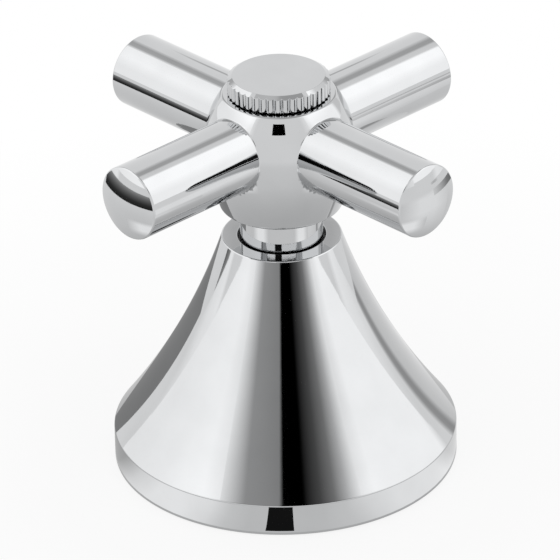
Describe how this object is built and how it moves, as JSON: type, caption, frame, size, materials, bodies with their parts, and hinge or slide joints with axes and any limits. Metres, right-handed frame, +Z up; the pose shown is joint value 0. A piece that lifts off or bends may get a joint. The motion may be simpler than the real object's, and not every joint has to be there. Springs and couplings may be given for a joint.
{
  "type": "tap handle",
  "caption": "Chrome cross-head tap handle with a reeded index button, turning on a bell-shaped cover flange that screws down over the valve.",
  "frame": {"origin": "centre of the flange's foot, on the surface it stands on", "axes": "+Z up along the spindle axis, +X and +Y along two of the arms"},
  "size_m": [0.0676, 0.0676, 0.0678],
  "materials": {
    "chrome_flange": "polished chrome plate",
    "chrome_handle": "polished chrome plate",
    "chrome_button": "polished chrome plate",
    "black_acetal": "moulded",
    "brass": "machined",
    "steel": "passivated",
    "black_rubber": "moulded"
  },
  "bodies": {
    "cover": {"flange": "chrome_flange", "neck_bush": "black_acetal"},
    "handle": {"handle_body": "chrome_handle", "spline_insert": "brass", "retaining_screw": "steel", "lock_washer": "steel", "index_button": "chrome_button", "button_seal": "black_rubber"}
  },
  "joints": [
    {"name": "handle_turn", "type": "hinge", "parent": "cover", "child": "handle", "pos_m": [0, 0, 0], "axis": [0, 0, 1], "continuous": true}
  ]
}
